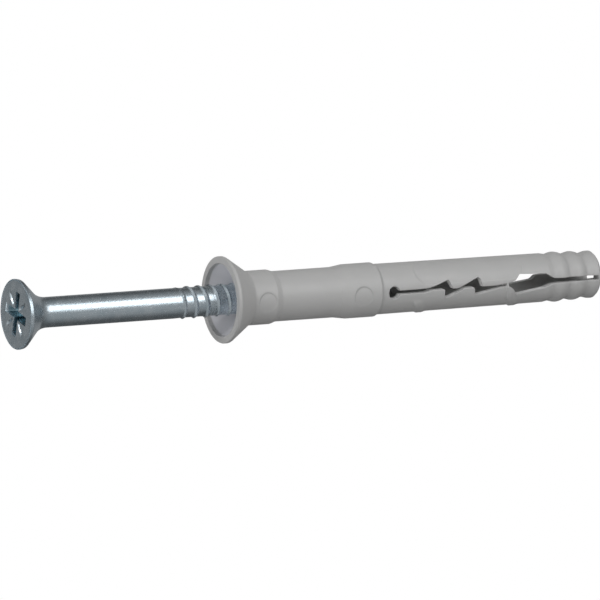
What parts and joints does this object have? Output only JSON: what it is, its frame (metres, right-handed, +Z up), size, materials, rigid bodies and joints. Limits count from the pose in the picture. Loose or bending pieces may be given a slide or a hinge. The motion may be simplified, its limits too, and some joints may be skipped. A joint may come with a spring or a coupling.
{
  "type": "hammer fixing",
  "caption": "Countersunk hammer fixing: a grey slotted plastic plug with a zinc-plated nail screw half driven into it, standing on the nail's flat head.",
  "frame": {"origin": "on the surface it stands on, at the middle of the nail's head", "axes": "+Z up along the fixing's own axis, from the face of the nail's head to the plug's tip; the slit between the legs faces -Y and +Y; the leg with the raised grips is on the +X side"},
  "size_m": [0.0126, 0.0126, 0.0926],
  "materials": {
    "grey_plastic": "satin moulded plastic, plain light grey",
    "zinc_plated_steel": "bright bluish zinc plating over steel, slightly mottled"
  },
  "bodies": {
    "nail": {"nail_screw": "zinc_plated_steel"},
    "plug": {"plug": "grey_plastic"}
  },
  "joints": [
    {"name": "nail_drive", "type": "slide", "parent": "nail", "child": "plug", "axis": [0, 0, -1], "range_m": [0, 0.0326]}
  ]
}
